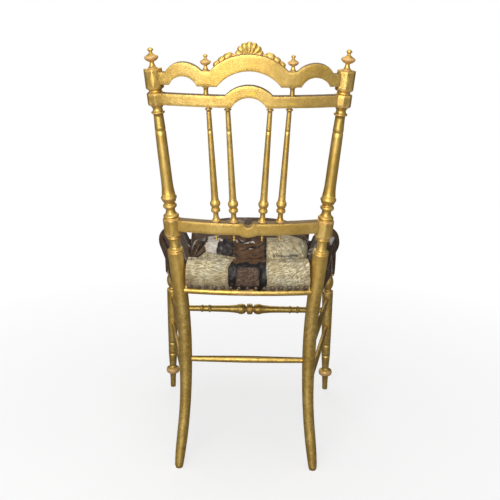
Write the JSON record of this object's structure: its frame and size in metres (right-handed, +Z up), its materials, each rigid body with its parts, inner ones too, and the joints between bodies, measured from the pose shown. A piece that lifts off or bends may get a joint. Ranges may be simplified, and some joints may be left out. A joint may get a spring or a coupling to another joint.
{
  "type": "side chair",
  "caption": "Gilt turned side chair with an arched spindle back, a carved shell crest and a stuffed seat covered in patched cowhide.",
  "frame": {"origin": "on the floor, under the middle of the chair's bounding box", "axes": "+Z up, the sitter faces -Y, the back of the chair is towards +Y, +X is the sitter's left"},
  "size_m": [0.462, 0.4723, 0.8774],
  "materials": {
    "giltwood": "bronze-gold painted wood, worn to pinkish gesso on edges and rings",
    "gilt_carving": "bronze-gold painted carving with copper-pink wear",
    "rail_wood": "plain unfinished beech, hidden under the hide",
    "cowhide": "patched hide: brown and dark hair, cream embossed and smooth patches",
    "stuffing": "horsehair and linen stuffing",
    "webbing": "woven jute",
    "nail_brass": "dull, tarnished"
  },
  "bodies": {
    "root": {"post_finial_right": "giltwood", "post_finial_left": "giltwood", "inner_finial_right": "giltwood", "inner_finial_left": "giltwood", "short_spindle_right": "giltwood", "short_spindle_left": "giltwood", "back_spindle_outer_right": "giltwood", "back_spindle_outer_left": "giltwood", "back_spindle_inner_right": "giltwood", "back_spindle_inner_left": "giltwood", "pendant_drop_outer_right": "giltwood", "pendant_drop_outer_left": "giltwood", "pendant_drop_inner_right": "giltwood", "pendant_drop_inner_left": "giltwood", "side_stretcher_upper_right": "giltwood", "side_stretcher_upper_left": "giltwood", "side_stretcher_lower_right": "giltwood", "side_stretcher_lower_left": "giltwood", "front_leg_right": "giltwood", "front_leg_left": "giltwood", "rear_post_right": "giltwood", "rear_post_left": "giltwood", "front_stretcher": "giltwood", "rear_stretcher": "giltwood", "crest_rail": "giltwood", "mid_rail": "giltwood", "lower_rail": "giltwood", "seat_rail_rear": "giltwood", "crest_carving": "gilt_carving", "seat_rail_front": "rail_wood", "seat_rail_right": "rail_wood", "seat_rail_left": "rail_wood", "webbing": "webbing", "seat_stuffing": "stuffing", "seat_cover": "cowhide", "cover_nails": "nail_brass"}
  },
  "joints": []
}
